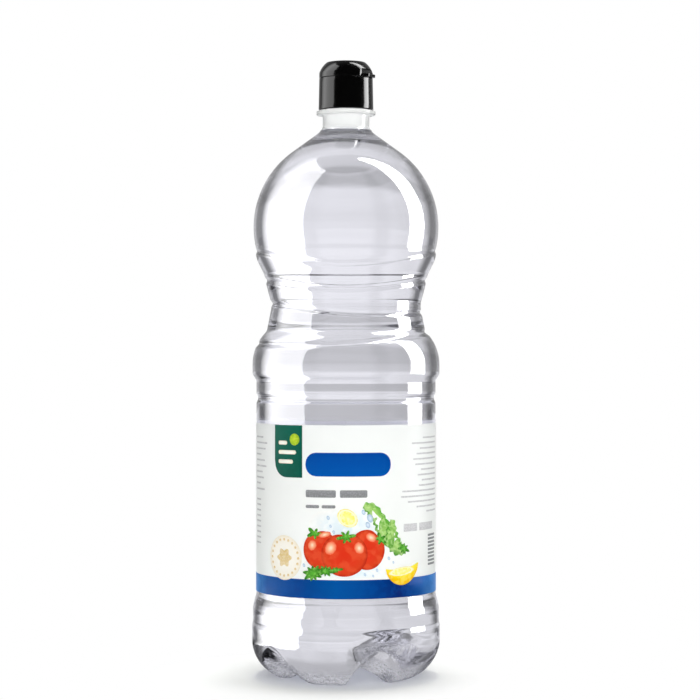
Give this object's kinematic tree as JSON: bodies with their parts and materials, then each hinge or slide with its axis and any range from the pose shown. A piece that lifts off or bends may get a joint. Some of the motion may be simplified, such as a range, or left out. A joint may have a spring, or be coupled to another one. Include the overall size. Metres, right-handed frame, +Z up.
{
  "type": "vinegar bottle",
  "caption": "Tall clear plastic bottle filled with pale vinegar, with a ball-shaped shoulder, ribbed waist, five-footed base, wrapped paper-like label and shut flip-top cap.",
  "frame": {"origin": "centre of the base on the surface the bottle stands on", "axes": "+Z up along the bottle's axis; the front of the label faces -Y; +X is to the right seen from the front"},
  "size_m": [0.1056, 0.1056, 0.3446],
  "materials": {
    "bottle_pet": "clear blow-moulded PET",
    "vinegar": "clear colourless liquid",
    "label_film": "white printed film",
    "cap_plastic": "black moulded polypropylene"
  },
  "bodies": {
    "root": {"bottle": "bottle_pet", "vinegar": "vinegar", "label": "label_film", "cap_body": "cap_plastic", "cap_lid": "cap_plastic"}
  },
  "joints": []
}
